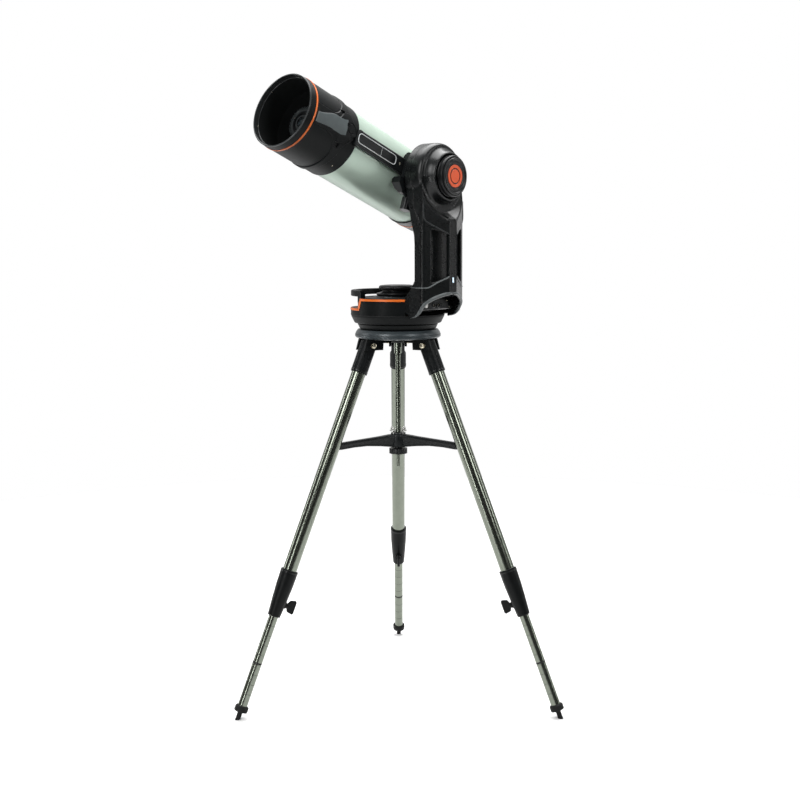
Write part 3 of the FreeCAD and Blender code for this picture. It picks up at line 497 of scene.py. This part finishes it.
def rounded_path(corners, corner_radius, steps=6, closed=False):
    """Points along straight runs with each corner rounded."""
    points = []
    count = len(corners)
    for i, corner in enumerate(corners):
        here = Vector(corner)
        if not closed and i in (0, count - 1):
            points.append(here)
            continue
        before, after = Vector(corners[i - 1]), Vector(corners[(i + 1) % count])
        reach = min(corner_radius, (before - here).length * 0.45, (after - here).length * 0.45)
        start = here + (before - here).normalized() * reach
        end = here + (after - here).normalized() * reach
        for k in range(steps + 1):
            t = k / steps
            points.append(start * (1 - t) ** 2 + here * 2 * t * (1 - t) + end * t ** 2)
    return points


def slab(name, outline, low, high, local, body, material, edge=0.6):
    """Flat plate from an outline of (x, y) in mm, with its upper edge chamfered."""
    count = len(outline)
    middle = Vector((sum(p[0] for p in outline) / count, sum(p[1] for p in outline) / count))
    levels = ((low, 0), (high - edge, 0), (high, edge))
    verts = []
    for height, inset in levels:
        for p in outline:
            way = (Vector(p) - middle).normalized() * inset
            verts.append(((p[0] - way.x) * MM, (p[1] - way.y) * MM, height * MM))
    faces = grid_faces(len(levels), count) + end_faces(len(levels), count)
    return add_piece(name, verts, faces, local, body, material)


def hex_screw(name, at, way, radius, local, body, material, depth=2.0):
    """Round screw head with a hexagonal recess, at a point in a local frame, facing a way."""
    z = Vector(way).normalized()
    x = z.orthogonal().normalized()
    place = local @ basis(x, z.cross(x), z, Vector(at) * MM)
    rings = ((radius * 0.96, -0.3, False), (radius, 0.3, False), (radius, depth - 0.4, False),
             (radius * 0.9, depth, False), (radius * 0.52, depth, True), (radius * 0.5, depth - 1.2, True))
    verts, sides = [], 24
    for r, h, hexed in rings:
        for j in range(sides):
            turn = 2 * math.pi * j / sides
            k = math.cos(math.pi / 6) / math.cos((turn % (math.pi / 3)) - math.pi / 6) if hexed else 1
            verts.append(polar(r * k * MM, turn, h * MM))
    faces = grid_faces(len(rings), sides) + end_faces(len(rings), sides)
    return add_piece(name, verts, faces, place, body, material)


# ---------------------------------------------------------------- parts of the tube
def make_tube_details():
    """Lip, ledge, baffle and screws of the front end, and the edge of the tube's own paint."""
    # The lip is lighter rim plastic, which paints a highlight along its edge.
    lathe("shield_lip", [(92.7, SHIELD_LIP - 6), (96.2, SHIELD_LIP - 2.2), (96.0, SHIELD_LIP - 0.2),
                         (95.2, SHIELD_LIP + 0.5), (93.6, SHIELD_LIP + 0.5), (92.7, SHIELD_LIP - 0.3)],
          TUBE, "tube", "rim", segments=180)
    for i in range(6):
        turn = math.radians(20 + 60 * i)
        hex_screw(f"lip_screw_{i + 1}", polar(92.2, turn, SHIELD_LIP - 14), polar(-1, turn, 0), 1.9, TUBE,
                  "tube", "bolt", depth=1.2)
        turn += 0.75
        hex_screw(f"cell_screw_{i + 1}", polar(95.2, turn, 272), polar(1, turn, 0), 1.7, TUBE, "tube", "bolt",
                  depth=0.7)
    # Ledge inside the lip, in rim plastic: a painted highlight round the inside of the lip.
    lathe("lip_ledge", [(92.6, SHIELD_LIP - 14.4), (92.6, SHIELD_LIP - 12.6), (91.2, SHIELD_LIP - 12.4),
                        (90.6, SHIELD_LIP - 13.0), (90.8, SHIELD_LIP - 14.2)], TUBE, "tube", "rim",
          segments=180)
    lathe("cell_edge", [(92.3, 248.6), (94.0, 248.8), (94.4, 249.8), (94.2, 251.2), (92.3, 251.2)], TUBE,
          "tube", "tube", segments=180)
    lathe("inner_baffle", [(60.0, 302.2), (88.2, 302.4), (88.2, 305.5), (84.0, 308.0), (62.0, 305.0),
                           (60.0, 303.0)], TUBE, "tube", "shield", segments=160)


def make_camera_module():
    """Finned camera on three struts in the middle of the front opening."""
    def fins(turn, radius, height):
        return 1.0 - 0.07 * (math.sin(turn * 30) > 0) if radius > 38 and height > 344 else 1.0

    lathe("camera_base", [(28, 300.6), (40.5, 300.8), (41, 303), (41, 311), (39, 314), (35.2, 315),
                          (34.6, 343), (28, 343)], TUBE, "tube", "inside", segments=96)
    # The finned ring and the struts are lighter rim plastic, which paints highlights on them against the dark
    # inside.
    lathe("camera_ring", [(30, 342.5), (41.5, 342.6), (43.2, 344.5), (43.4, 349), (41, 350), (41, 352),
                          (43.4, 353), (43.4, 360), (42, 362), (36.2, 363), (35, 361.5), (30, 361)],
          TUBE, "tube", "rim", segments=360, bump=fins)
    lathe("camera_face", [(0.02, 358.6), (34.5, 358.8), (34.5, 360.4), (26, 361.2), (25, 364.5), (21, 365),
                          (19.5, 362.0), (14.5, 361.6), (13.5, 364.4), (11.8, 364.6), (11.4, 361.8),
                          (0.02, 361.4)], TUBE, "tube", "knob", segments=96)
    lathe("camera_lens", [(0.02, 364.4), (6, 363.9), (11.2, 362.2), (11.2, 361.9), (0.02, 361.9)],
          TUBE, "tube", "lens", segments=64)
    lathe("camera_lens_ring", [(14.8, 361.9), (18.9, 362.2), (18.9, 363.0), (14.8, 362.8)], TUBE, "tube",
          "rim", segments=64)
    for i in range(3):
        turn = math.radians(35 + 120 * i)
        hex_screw(f"camera_screw_{i + 1}", polar(30.5, turn, 360.6), (0, 0, 1), 2.2, TUBE, "tube", "bolt",
                  depth=1.4)
        points = [polar(39 + 49 * t, turn, 305.5 + 30 * (1 - t)) for t in (0, 0.5, 1)]
        swept(f"camera_strut_{i + 1}", points, 2.4, TUBE, "tube", "rim")


def make_label():
    """Plain printed outline on the dovetail bar, with no lettering."""
    face, half_width, rear, front = 104.62, 12.5, 110, 258
    corners = [(face, -half_width, rear), (face, half_width, rear), (face, half_width, front),
               (face, -half_width, front)]
    swept("bar_outline", rounded_path(corners, 12.4, steps=8, closed=True), 1.1, TUBE, "tube", "print",
          closed=True, sides=6)
    swept("bar_divider", [(face, -12, 168), (face, 12, 168)], 0.9, TUBE, "tube", "print", sides=6)
    hex_screw("bar_screw", (104.5, 0, 92), (1, 0, 0), 3.0, TUBE, "tube", "bolt", depth=0.8)
    outline = [(-21, 248), (21, 248), (21, 258), (18, 264), (-18, 264), (-21, 258)]
    slab("bar_nose", outline, 94.5, 104.5, TUBE @ Z_ALONG_X, "tube", "black_metal", edge=1.2)


# ---------------------------------------------------------------- parts of the arm
def applied(piece):
    """Makes a piece's modifiers part of its mesh."""
    seen = piece.evaluated_get(bpy.context.evaluated_depsgraph_get())
    mesh = bpy.data.meshes.new_from_object(seen)
    piece.modifiers.clear()
    piece.data = mesh


# The valley round the knob's collar: (distance from the altitude axis, height along it), in mm.
VALLEY = ((63.2, 184.9), (64.4, 176.4), (66.0, 171.2), (68.0, 166.4), (70.4, 161.8), (73.0, 158.4),
          (80.0, 157.0))
VALLEY_FLOOR, VALLEY_RISE = 157.0, 37.0
# In metres: half the spine's width, the collar's radius, the remesh's voxel, and the rounding's two sizes.
SPINE_HALF, COLLAR_OUT = 0.0142, 0.0635
ARM_VOXEL = 0.0019
ROUND_HEIGHT, ROUND_LENGTH = 0.001, 0.012


def head_limit(radius, on_spine):
    """The furthest that the arm may stand out at a distance from the altitude axis, in mm."""
    for (r0, h0), (r1, h1) in zip(VALLEY, VALLEY[1:]):
        if radius < r1:
            return h0 + (h1 - h0) * max(0.0, radius - r0) / (r1 - r0)
    far = smoothstep(90, 112, radius) if on_spine else smoothstep(87, 120, radius)
    return VALLEY_FLOOR + VALLEY_RISE * far


def carve_valley(piece):
    """Lowers what stands over the valley round the collar, and rounds it over a little."""
    inverse = HEAD.inverted()
    for vertex in piece.data.vertices:
        at = inverse @ vertex.co
        limit = head_limit(at.xy.length / MM, abs(at.x) < SPINE_HALF) * MM - ROUND_HEIGHT
        if at.z > limit and at.xy.length > COLLAR_OUT:
            at.z = limit + ROUND_HEIGHT * (1 - math.exp((limit - at.z) / ROUND_LENGTH))
            vertex.co = HEAD @ at


def make_arm_head():
    """Outer arm shell and its domed head as one softly blended moulding."""
    dome = [(0.02, 118), (87.0, 118), (87.4, 124), (87.4, 138), (87.0, 144), (85.6, 150), (83.0, 154.4),
            (80.2, 156.0), (77.8, 155.4), (75.8, 155.6), (73.0, 157.6), (70.4, 161), (68.0, 165.6),
            (66.0, 170.4), (64.4, 175.4), (63.2, 180), (61.4, 183.6), (59.0, 184.8), (57.0, 183.6),
            (56.0, 181), (55.6, 178.4), (0.02, 178.4)]
    turned_verts, turned_faces = turned(dome, 192)
    source = nodes["arm_outer_shell"]
    verts = [source.matrix_world @ v.co for v in source.data.vertices]
    start = len(verts)
    verts += [HEAD @ Vector(v) for v in turned_verts]
    faces = [tuple(f.vertices) for f in source.data.polygons]
    faces += [tuple(start + i for i in f) for f in turned_faces]
    body = add_piece("arm_body", verts, faces, ROW, "mount", "shell")
    joined = body.modifiers.new("joined", "REMESH")
    joined.mode = "VOXEL"
    joined.voxel_size = ARM_VOXEL
    applied(body)
    carve_valley(body)
    softer = body.modifiers.new("softer", "SMOOTH")
    softer.factor = 0.5
    softer.iterations = 9
    applied(body)
    body.data.shade_smooth()
    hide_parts("arm_outer_shell")


def make_altitude_knob():
    """Ribbed clutch knob on the altitude axis, with a plain orange disc and ring on its face."""
    def ribs(turn, radius, height):
        ribbed = radius > 51.5 and 186 < height < 193
        return 1.0 - 0.006 * (0.5 + 0.5 * math.cos(turn * 60)) if ribbed else 1.0

    profile = [(12.2, 179.1), (51.0, 179.1), (52.6, 180.4), (53.0, 182), (53.0, 184), (51.8, 184.8),
               (51.8, 185.8), (53.0, 186.6), (53.0, 194.5), (51.6, 196.5), (49.6, 197.2), (48.8, 196.0),
               (47.4, 196.0), (46.8, 199.2), (45.4, 200.6), (43.0, 200.8), (41.6, 199.4), (40.4, 198.6),
               (39.0, 199.0), (37.0, 199.8), (33.5, 199.4), (32.0, 198.2), (12.2, 198.2)]
    knob = lathe("altitude_knob_grip", profile, HEAD, "altitude_knob", "knob", segments=480, bump=ribs,
                 sharp=30)
    face = lathe("altitude_knob_face", [(0.02, 194.0), (12.0, 194.0), (12.3, 197.5), (32.2, 197.6),
                                        (32.2, 198.4), (0.02, 198.6)], HEAD, "altitude_knob", "knob",
                 segments=96)
    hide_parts("altitude_clutch_knob")
    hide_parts("altitude_clutch_knob")
    lathe("knob_disc", [(0.02, 198.4), (17.0, 198.4), (17.6, 199.0), (17.0, 199.7), (0.02, 199.9)], HEAD,
          "altitude_knob", "emblem", segments=96)
    lathe("knob_disc_ring", [(20.8, 198.3), (28.8, 198.3), (29.0, 199.0), (28.4, 199.6), (21.2, 199.6),
                             (20.6, 199.0)], HEAD, "altitude_knob", "emblem", segments=120)


def make_arm_edges(side, word):
    """Raised beads on the front or back half of the arm, lighter than the shell to paint highlights on its edges,
    a fill under the arch, and a dark seam.
    """
    ledge = [(118, side * 82.3, 1127), (157.5, side * 82.3, 1127), (166.8, side * 69.4, 1127),
             (177.4, side * 47.2, 1140), (190.6, side * 20.0, 1153), (193.2, side * 14.2, 1157)]
    # Light grey bead along the recess's lower lip: a painted highlight.
    swept(f"ledge_{word}", rounded_path(ledge, 9), 2.0, MOUNT, "mount", "edge")
    ridge = [(160.4, side * 80.4, 1352), (160.4, side * 80.4, 1301), (173.6, side * 54.6, 1286.5),
             (189.0, side * 22.8, 1269.5), (193.2, side * 14.4, 1264)]
    # Rim-plastic bead along the recess's upper edge: a painted highlight.
    swept(f"ridge_{word}", rounded_path(ridge, 14), 1.7, MOUNT, "mount", "rim")
    arch = [(113, side * 79.6, 1047.5), (125, side * 79.6, 1050), (133, side * 79.6, 1053),
            (143, side * 79.4, 1061), (156.6, side * 77.6, 1083), (165.5, side * 64.6, 1095),
            (176, side * 43.6, 1104.5), (187, side * 20.4, 1111.5), (190.5, 0, 1113)]
    # Light grey bead round the port bay's arch, thin at its start: a painted highlight.
    swept(f"arch_highlight_{word}", rounded_path(arch, 24), 5.4, MOUNT, "mount", "edge", thin_start=0.3)
    edge = [(x, 1050 + ARM_FOOT_SLOPE * (x - 108)) for x in (110, 125, 140, 155)]
    curve = [(155, 1083), (148, 1072), (140, 1060), (129, 1052.5), (112, 1046)]
    low, high = (77.0, 82.0) if side < 0 else (-82.0, -77.0)
    slab(f"arch_fill_{word}", edge + curve, low, high, MOUNT @ Z_AGAINST_Y, "mount", "shell", edge=0.2)
    seam = [(150, side * 82.1, 1060), (150, side * 82.1, 1285), (124.5, side * 82.1, 1334),
            (124.5, side * 82.1, 1378)]
    swept(f"shell_seam_{word}", rounded_path(seam, 14), 0.6, MOUNT, "mount", "dark", sides=6)
    # Rim-plastic bead down each side of the spine: a painted highlight.
    swept(f"spine_edge_highlight_{word}", [(193.0, side * 13.9, 1160), (193.0, side * 13.9, 1310)], 0.9, MOUNT,
          "mount", "rim", sides=8)


def make_spine_details():
    """Groove down the arm's spine and the bezel of its light."""
    groove_line = [(193.1, -8.5, 1128), (193.1, 8.5, 1128), (193.1, 8.5, 1304), (193.1, -8.5, 1304)]
    swept("spine_groove", rounded_path(groove_line, 7, closed=True), 0.5, MOUNT, "mount", "dark", closed=True,
          sides=6)
    lamp = [(193.2, -3.4, 1138.6), (193.2, 3.4, 1138.6), (193.2, 3.4, 1154.4), (193.2, -3.4, 1154.4)]
    swept("light_bezel", rounded_path(lamp, 2.5, closed=True), 0.6, MOUNT, "mount", "rim", closed=True,
          sides=8)


def make_ports():
    """Screws of the port panel, and the rings and pins of its two power jacks."""
    for i, (y, z) in enumerate(((-24, 1090), (48, 1090), (-60, 1074), (60, 1074))):
        hex_screw(f"port_screw_{i + 1}", (132, y, z), (1, 0, 0), 2.1, MOUNT, "mount", "bolt", depth=1.0)
    outward = MOUNT @ Z_ALONG_X
    jack_height = 1079
    for i, y in enumerate((-6.5, 12)):
        lathe(f"jack_ring_{i + 1}", [(4.7, 132.9), (6.9, 132.9), (6.9, 133.6), (6.0, 134.3), (4.8, 134.3)],
              outward, "mount", "rim", segments=48, at=(y, jack_height))
        lathe(f"jack_pin_{i + 1}", [(0.02, 128), (4.4, 128), (4.4, 128.8), (1.2, 129), (1.2, 132.4),
                                    (0.8, 133), (0.02, 133)], outward, "mount", "bolt", segments=32,
              at=(y, jack_height))


# ---------------------------------------------------------------- parts of the base
def make_azimuth_knob():
    """Mushroom-shaped clutch knob with a fluted rim, its cap, and the ring round it on the deck."""
    def flutes(turn, radius, height):
        return 1.0 - 0.014 * (0.5 + 0.5 * math.cos(turn * 72)) if radius > 49 and height > 1118 else 1.0

    profile = [(8.4, 1099.0), (52, 1099.0), (55.5, 1100.6), (57.4, 1103.0), (58.0, 1106.0), (57.0, 1108.0),
               (50.5, 1109.6), (44.0, 1111.4), (41.8, 1113.2), (42.2, 1116.2), (46.5, 1117.6), (50.0, 1118.6),
               (51.2, 1120.6), (51.4, 1123.2), (50.6, 1126.0), (48.4, 1128.2), (46.0, 1128.8), (44.6, 1128.0),
               (42.0, 1128.0), (40.5, 1129.0), (37.0, 1129.8), (24, 1130.0), (23, 1129.2), (8.4, 1129.2)]
    knob = lathe("azimuth_knob_grip", profile, MOUNT, "azimuth_knob", "knob", segments=576, bump=flutes,
                 sharp=30)
    cap = lathe("azimuth_knob_cap", [(0.02, 1066.0), (7.95, 1066.0), (7.95, 1120.0), (22.6, 1128.8),
                                     (22.4, 1129.8), (20, 1130.0), (0.02, 1130.0)], MOUNT,
                "azimuth_knob", "shell", segments=96)
    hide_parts("azimuth_clutch_knob")
    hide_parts("azimuth_clutch_knob")
    lathe("deck_ring", [(60.5, 1097.4), (66, 1097.4), (66, 1098.9), (65, 1099.6), (61.5, 1099.6),
                        (60.5, 1098.9)], MOUNT, "mount", "rim", segments=160)


def make_base_details():
    """Dark grooves round the turntable's shell and the tripod head."""
    lathe("shell_groove", [(126.6, 1050.6), (127.85, 1050.9), (127.85, 1051.9), (126.6, 1052.2)], MOUNT,
          "mount", "dark", segments=200)
    lathe("head_groove", [(115.9, 997.4), (116.35, 997.7), (116.2, 998.5), (115.7, 998.7)], ROW, "tripod",
          "dark", segments=200)


# ---------------------------------------------------------------- parts of the tripod
SPREADER_AZIMUTHS = (210, 330, 90)
SPREADER_CORNERS = 12
LEG_GAP = 0.3


def spreader_section(u, top, bottom, half_top, half_low):
    """Corners of an arm's cross-section at a distance u from the hub's middle: a flat top with sloping
    shoulders, sides that draw in below them, and a bead along the lower edge."""
    right = [(half_top * 0.55, top), (half_top, top - 5.5), (half_top * 0.86, top - 8.5),
             (half_low * 0.8, bottom + 5), (half_low, bottom + 2), (half_low * 0.8, bottom)]
    corners = [(u, -right[0][0], top)] + [(u, y, z) for y, z in right]
    return corners + [(u, -y, z) for y, z in right[:0:-1]]


def make_spreader():
    """Three arms with sloping shoulders, which run a little downhill from a hub to the legs."""
    sections = ((8, 722, 687, 15, 12), (30, 721, 688.5, 13.5, 10.5), (60, 718.5, 692.5, 11.5, 8.5),
                (100, 716, 696, 10.0, 7.2), (140, 713.5, 695.5, 9.2, 6.4), (176, 711, 692.5, 8.6, 6.0))
    low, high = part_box("spreader")
    for index, azimuth in enumerate(SPREADER_AZIMUTHS):
        turn = Matrix.Rotation(math.radians(azimuth), 4, "Z")
        verts = [corner for section in sections for corner in spreader_section(*section)]
        for base in verts[-SPREADER_CORNERS:]:
            reach = high.y / MM - (base[2] - low.z / MM) * math.tan(math.radians(LEG_TILT)) - LEG_GAP
            verts.append((reach, base[1] * 0.96, base[2]))
        verts = [tuple(c * MM for c in v) for v in verts]
        rows = len(sections) + 1
        faces = grid_faces(rows, SPREADER_CORNERS) + end_faces(rows, SPREADER_CORNERS)
        arm = add_piece(f"spreader_arm_{index + 1}", verts, faces, turn, "spreader", "black_metal", sharp=30)
        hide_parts("spreader")
        lug = turn @ Matrix.Translation(Vector((18.5, 0, 0)) * MM)
        hoop = [(0, -5.5, 722), (0, -5.5, 741), (0, 5.5, 741), (0, 5.5, 722)]
        swept(f"spreader_lug_{index + 1}", rounded_path(hoop, 5), 2.6, lug, "spreader", "brushed")
        across = lug @ Matrix.Translation(Vector((0, 0, 731)) * MM) @ Matrix.Rotation(math.pi / 2, 4, "X")
        lathe(f"spreader_pin_{index + 1}", [(0.02, -8.5), (3.2, -8.5), (3.8, -7.8), (3.8, 7.8), (3.2, 8.5),
                                            (0.02, 8.5)], across, "spreader", "brushed", segments=32)
    hub = lathe("spreader_hub", [(4.7, 688), (20, 687.2), (23, 688.5), (23.5, 700), (22.5, 716), (20.5, 722),
                                 (16, 725.4), (8.2, 726), (7.9, 722), (4.7, 722)], ROW, "spreader",
                "black_metal", segments=96)
    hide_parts("spreader")


MARKS, FIRST_MARK, MARK_STEP = 9, 70, 27
HINGE_CAP_OUT = 0.0306


def make_leg_details():
    """Tubes, plugs, bands and marks of each leg, and the caps of its hinge."""
    for k in LEGS:
        leg = leg_frame(k)
        upper_body, lower_body = f"leg_{k}", f"lower_leg_{k}"
        upper = lathe(f"upper_tube_{k}", [(19.05, 342), (19.05, 1009), (17.55, 1009), (17.55, 342)], leg,
                      upper_body, "steel", segments=128)
        lower = lathe(f"lower_tube_{k}", [(12.7, 26), (12.7, 662), (17.4, 662), (17.4, 680), (11.2, 680),
                                          (11.2, 26)], leg, lower_body, "steel", segments=96)
        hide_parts(f"upper_leg_{k}")
        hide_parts(f"lower_leg_{k}")
        lathe(f"socket_plug_{k}", [(0.02, 1009.4), (19.0, 1009.4), (19.0, 1020), (0.02, 1020)], leg,
              upper_body, "socket", segments=64)
        hinge = joints[f"leg_fold_{k}"]
        for side, letter in ((-1, "a"), (1, "b")):
            way = Vector(hinge["axis"]) * side
            cap_at = (Vector(hinge["pos_m"]) + way * HINGE_CAP_OUT) / MM
            hex_screw(f"hinge_cap_{k}_{letter}", cap_at, way, 6.4, ROW, "tripod", "bolt", depth=3.2)
        for i in range(MARKS):
            along = FIRST_MARK + MARK_STEP * i
            lathe(f"leg_mark_{k}_{i + 1}", [(12.5, along), (12.73, along + 0.1), (12.73, along + 0.8),
                                            (12.5, along + 0.9)], leg, lower_body, "dark", segments=48)
        lathe(f"leg_stop_ring_{k}", [(12.4, 153), (12.74, 153.2), (12.74, 157.6), (12.4, 157.8)], leg,
              lower_body, "dark", segments=64)
        lathe(f"clamp_band_{k}", [(23.3, 405.5), (23.9, 406), (23.9, 409), (23.3, 409.5)], leg, upper_body,
              "shell", segments=96)
        lathe(f"socket_band_{k}", [(22.3, 972.0), (23.0, 972.5), (23.0, 976.5), (22.3, 977)], leg, upper_body,
              "shell", segments=96)


make_shield()
make_tube_details()
make_camera_module()
make_label()
make_arm_head()
make_altitude_knob()
make_arm_edges(-1, "front")
make_arm_edges(1, "back")
make_spine_details()
make_ports()
make_azimuth_knob()
make_base_details()
make_spreader()
make_leg_details()


# ---------------------------------------------------------------- camera, light and floor
CAMERA_AT = Vector((0.0, -3.5233, 1.2634))
CAMERA_PITCH, CAMERA_YAW, CAMERA_ROLL = 0.1266, 0.00147, -0.00304
LENS_MM = 58.3


def make_camera():
    """Camera in front of the object, a little above its middle and looking slightly down."""
    look = Vector((math.sin(CAMERA_YAW) * math.cos(CAMERA_PITCH),
                   math.cos(CAMERA_YAW) * math.cos(CAMERA_PITCH), -math.sin(CAMERA_PITCH)))
    level = Vector((math.cos(CAMERA_YAW), -math.sin(CAMERA_YAW), 0))
    rolled = level * math.cos(CAMERA_ROLL) + level.cross(look) * math.sin(CAMERA_ROLL)
    camera = bpy.data.objects.new("camera", bpy.data.cameras.new("camera"))
    camera.data.lens = LENS_MM
    camera.data.sensor_width = 36.0
    camera.matrix_world = basis(rolled, look.cross(rolled) * -1, -look, CAMERA_AT)
    bpy.context.scene.collection.objects.link(camera)
    bpy.context.scene.camera = camera


# Name, place, the point it is aimed at, width and height in metres, and power in watts.
LIGHTS = (
    ("key", (-2.3, -2.9, 3.3), (0, 0, 1.0), (1.0, 2.4), 80),
    ("fill", (2.4, -2.9, 3.1), (0, 0, 1.0), (0.9, 2.4), 55),
    ("kick", (-1.9, -2.5, 0.8), (0, 0, 1.3), (0.25, 1.3), 13),
    ("low", (-0.6, -3.6, 2.4), (0, 0, 0.8), (0.35, 1.4), 9),
    ("left_strip", (-3.0, 0.5, 1.6), (0, 0, 1.3), (0.22, 2.2), 16),
    ("right_strip", (3.0, -0.3, 1.6), (0, 0, 1.3), (0.22, 2.2), 14),
    ("back_right", (1.7, 2.4, 1.6), (0.15, 0, 1.25), (0.5, 2.0), 2.2),
    ("top", (0.2, 1.1, 4.2), (0, 0.9, 0), (3.4, 3.4), 215),
)
FLOOR_RADIUS, FLOOR_SIDES = 3.2, 160


def area_light(name, at, toward, size, power):
    """Rectangular lamp aimed at a point."""
    light = bpy.data.lights.new(name, "AREA")
    light.shape = "RECTANGLE"
    light.size, light.size_y = size
    light.energy = power
    lamp = bpy.data.objects.new(name, light)
    way = (Vector(toward) - Vector(at)).normalized()
    lamp.matrix_world = Matrix.Translation(Vector(at)) @ way.to_track_quat("-Z", "Y").to_matrix().to_4x4()
    bpy.context.scene.collection.objects.link(lamp)


def make_stage():
    """Pale floor, the world and the lamps. The floor casts no diffuse light back on the object."""
    mesh = bpy.data.meshes.new("floor")
    floor = bpy.data.objects.new("floor", mesh)
    rim = [polar(FLOOR_RADIUS, 2 * math.pi * j / FLOOR_SIDES, 0) for j in range(FLOOR_SIDES)]
    mesh.from_pydata(rim, [], [tuple(range(FLOOR_SIDES))])
    mesh.materials.append(new_material("floor_paint", (0.93, 0.93, 0.93), 0.9, mottle=0.01, mottle_scale=2,
                                       grain=0.0))
    bpy.context.scene.collection.objects.link(floor)
    floor.visible_diffuse = False
    make_world()
    for light in LIGHTS:
        area_light(*light)


def make_world():
    """White backdrop to look at, with softer and uneven light for the object to reflect."""
    world = bpy.data.worlds.new("studio")
    world.use_nodes = True
    tree = world.node_tree
    room = tree.nodes["Background"]
    place = tree.nodes.new("ShaderNodeTexCoord")
    axes = tree.nodes.new("ShaderNodeSeparateXYZ")
    tree.links.new(place.outputs["Generated"], axes.inputs["Vector"])
    depth = tree.nodes.new("ShaderNodeMapRange")
    depth.inputs["From Min"].default_value = -1.0
    tree.links.new(axes.outputs["Y"], depth.inputs["Value"])
    shade = tree.nodes.new("ShaderNodeValToRGB")
    stops = ((0.0, 0.05), (0.40, 0.07), (0.55, 0.32), (0.75, 0.60), (1.0, 0.65))
    while len(shade.color_ramp.elements) < len(stops):
        shade.color_ramp.elements.new(0.5)
    for element, (position, value) in zip(shade.color_ramp.elements, stops):
        element.position = position
        element.color = (value, value, value, 1)
    tree.links.new(depth.outputs["Result"], shade.inputs["Fac"])
    ceiling = tree.nodes.new("ShaderNodeMapRange")
    ceiling.inputs["From Min"].default_value = 0.35
    ceiling.inputs["From Max"].default_value = 0.85
    ceiling.inputs["To Max"].default_value = 0.35
    tree.links.new(axes.outputs["Z"], ceiling.inputs["Value"])
    total = tree.nodes.new("ShaderNodeVectorMath")
    total.operation = "ADD"
    tree.links.new(shade.outputs["Color"], total.inputs[0])
    tree.links.new(ceiling.outputs["Result"], total.inputs[1])
    tree.links.new(total.outputs["Vector"], room.inputs["Color"])
    backdrop = tree.nodes.new("ShaderNodeBackground")
    backdrop.inputs["Color"].default_value = (1, 1, 1, 1)
    paths = tree.nodes.new("ShaderNodeLightPath")
    either = tree.nodes.new("ShaderNodeMixShader")
    tree.links.new(paths.outputs["Is Camera Ray"], either.inputs["Fac"])
    tree.links.new(room.outputs["Background"], either.inputs[1])
    tree.links.new(backdrop.outputs["Background"], either.inputs[2])
    tree.links.new(either.outputs["Shader"], tree.nodes["World Output"].inputs["Surface"])
    bpy.context.scene.world = world
    bpy.context.scene.view_settings.view_transform = "Standard"


make_camera()
make_stage()
